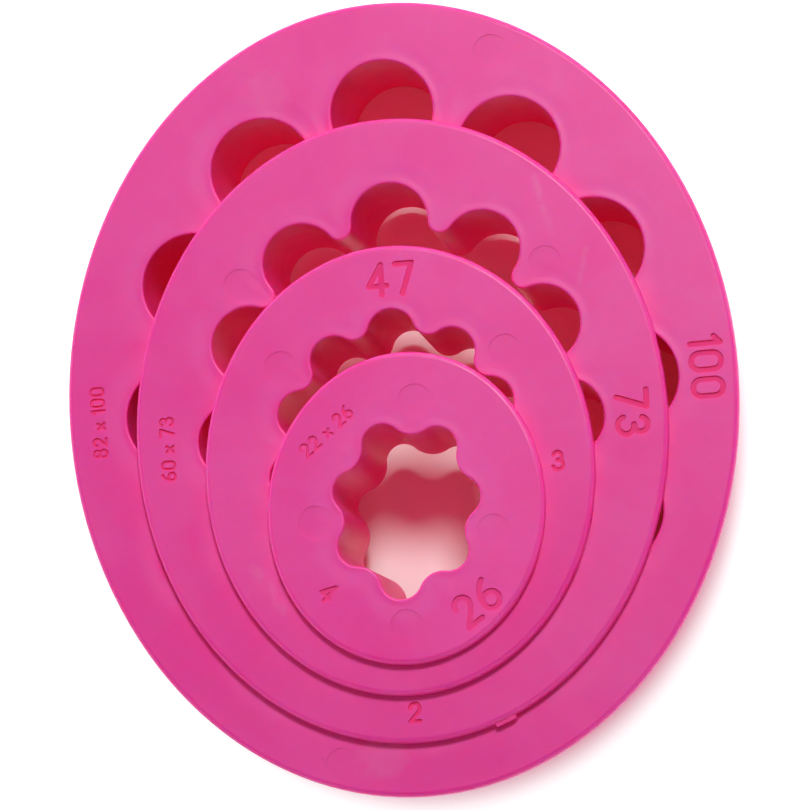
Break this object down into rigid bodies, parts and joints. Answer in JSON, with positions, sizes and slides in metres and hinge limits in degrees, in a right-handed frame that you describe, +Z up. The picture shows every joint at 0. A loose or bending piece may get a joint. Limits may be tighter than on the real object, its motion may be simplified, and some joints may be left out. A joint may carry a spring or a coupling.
{
  "type": "nested oval pastry cutters",
  "caption": "Nested oval scalloped pastry cutters: each a flat oval flange over a scalloped wall with a thin cutting edge, hanging in the next larger one and lifting straight out.",
  "frame": {"origin": "on the table, under the middle of the largest cutter's flange: the centre of the object's base", "axes": "+Z up, along which the cutters lift out of each other; +Y along the largest flange's long axis, towards its uncovered end; +X to the right of it, seen from above"},
  "size_m": [0.0992, 0.1174, 0.028],
  "materials": {
    "pink_plastic": "satin injection-moulded plastic"
  },
  "bodies": {
    "extra_large": {"cutter_extra_large": "pink_plastic"},
    "large": {"cutter_large": "pink_plastic"},
    "medium": {"cutter_medium": "pink_plastic"},
    "small": {"cutter_small": "pink_plastic"}
  },
  "joints": [
    {"name": "large_lift", "type": "slide", "parent": "extra_large", "child": "large", "axis": [0, 0, 1], "range_m": [0, 0.03]},
    {"name": "medium_lift", "type": "slide", "parent": "large", "child": "medium", "axis": [0, 0, 1], "range_m": [0, 0.03]},
    {"name": "small_lift", "type": "slide", "parent": "medium", "child": "small", "axis": [0, 0, 1], "range_m": [0, 0.03]}
  ]
}
